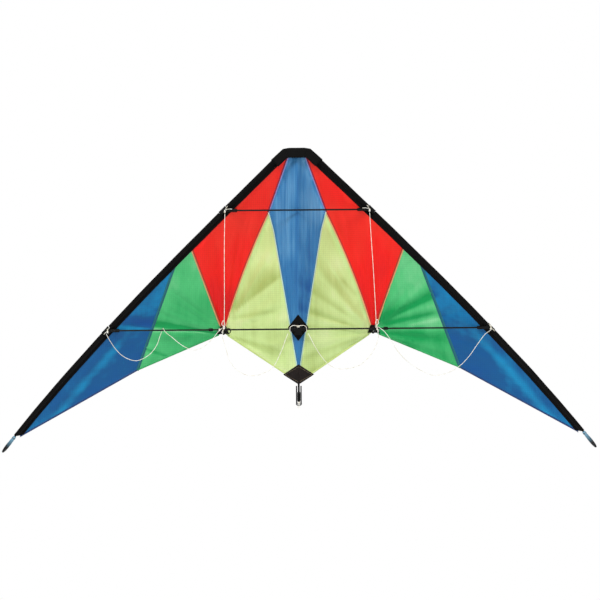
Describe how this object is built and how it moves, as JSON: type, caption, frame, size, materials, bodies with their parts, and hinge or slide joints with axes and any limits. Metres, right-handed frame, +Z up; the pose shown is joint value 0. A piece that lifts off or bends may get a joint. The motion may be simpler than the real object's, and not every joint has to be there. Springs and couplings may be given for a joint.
{
  "type": "delta kite",
  "caption": "Dual-line delta kite: a panelled cloth sail on a rod frame with spreaders, standoffs and a line bridle.",
  "frame": {"origin": "middle of the nose strap's top, where the kite is held", "axes": "+Z up through the nose, +X to the right seen from the pilot's side, the pilot's side faces -Y"},
  "size_m": [1.4934, 0.1224, 0.7588],
  "materials": {
    "rod": "pultruded glass-fibre rod, black, satin",
    "vinyl": "moulded black vinyl fitting",
    "tee_rubber": "moulded black rubber",
    "tip_plastic": "moulded dark nock",
    "ferrule_steel": "drawn tube",
    "black_cloth": "woven black polyester, sewn",
    "webbing": "folded nylon webbing",
    "tail_cloth": "laminated dark patch with tan stitching",
    "sky_blue": "ripstop nylon, translucent sky blue",
    "red": "ripstop nylon, translucent red",
    "lime": "ripstop nylon, translucent yellow-green",
    "green": "ripstop nylon, translucent green",
    "wing_blue": "ripstop nylon, translucent deep blue",
    "cord": "braided polyester line, cream",
    "elastic": "braided shock cord, black"
  },
  "bodies": {
    "spine": {"spine_rod": "rod", "spine_top_cap": "vinyl", "tail_nock": "vinyl", "tail_elastic": "elastic", "spine_pocket_upper": "black_cloth", "spine_pocket_lower": "black_cloth", "nose_webbing": "webbing", "centre_tee": "tee_rubber", "centre_patch": "black_cloth", "tail_patch": "tail_cloth", "sail_centre": "sky_blue", "tee_tie": "cord"},
    "left_wing": {"left_le_rod_upper": "rod", "left_le_rod_lower": "rod", "left_le_ferrule": "ferrule_steel", "left_le_sleeve": "black_cloth", "left_upper_connector": "vinyl", "left_lower_connector": "vinyl", "left_lower_spreader": "rod", "left_spreader_collar": "vinyl", "left_sail_red": "red", "left_sail_lime": "lime", "left_sail_green": "green", "left_sail_blue": "wing_blue", "left_edge_patch": "black_cloth", "left_standoff_cap": "vinyl", "left_tip_nock": "tip_plastic", "left_tow_knot": "cord", "left_bridle_upper": "cord", "left_bridle_outer": "cord", "left_bridle_inner": "cord"},
    "right_wing": {"right_le_rod_upper": "rod", "right_le_rod_lower": "rod", "right_le_ferrule": "ferrule_steel", "right_le_sleeve": "black_cloth", "right_upper_connector": "vinyl", "right_lower_connector": "vinyl", "right_lower_spreader": "rod", "right_spreader_collar": "vinyl", "right_sail_red": "red", "right_sail_lime": "lime", "right_sail_green": "green", "right_sail_blue": "wing_blue", "right_edge_patch": "black_cloth", "right_standoff_cap": "vinyl", "right_tip_nock": "tip_plastic", "right_tow_knot": "cord", "right_bridle_upper": "cord", "right_bridle_outer": "cord", "right_bridle_inner": "cord"},
    "upper_spreader_body": {"upper_spreader": "rod"},
    "left_standoff": {"left_standoff_clip": "vinyl", "left_standoff_rod": "rod"},
    "right_standoff": {"right_standoff_clip": "vinyl", "right_standoff_rod": "rod"}
  },
  "joints": [
    {"name": "left_wing_fold", "type": "hinge", "parent": "spine", "child": "left_wing", "pos_m": [0, 0, -0.455], "axis": [0, 0, 1], "range_deg": [0, 70], "deforming": ["nose_webbing", "centre_tee", "centre_patch", "tail_patch", "sail_centre", "tee_tie"]},
    {"name": "right_wing_fold", "type": "hinge", "parent": "spine", "child": "right_wing", "pos_m": [0, 0, -0.455], "axis": [0, 0, -1], "range_deg": [0, 70]},
    {"name": "upper_spreader_release", "type": "slide", "parent": "spine", "child": "upper_spreader_body", "axis": [0, -1, 0], "range_m": [0, 0.42]},
    {"name": "left_standoff_swing", "type": "hinge", "parent": "left_wing", "child": "left_standoff", "pos_m": [-0.191, 0, -0.455], "axis": [-1, 0, 0], "range_deg": [0, 78]},
    {"name": "right_standoff_swing", "type": "hinge", "parent": "right_wing", "child": "right_standoff", "pos_m": [0.191, 0, -0.455], "axis": [-1, 0, 0], "range_deg": [0, 78]}
  ],
  "couplings": [
    {"joint": "right_wing_fold", "follows": "left_wing_fold", "ratio": 1},
    {"joint": "upper_spreader_release", "follows": "left_wing_fold", "m_per_rad": 0.34}
  ]
}
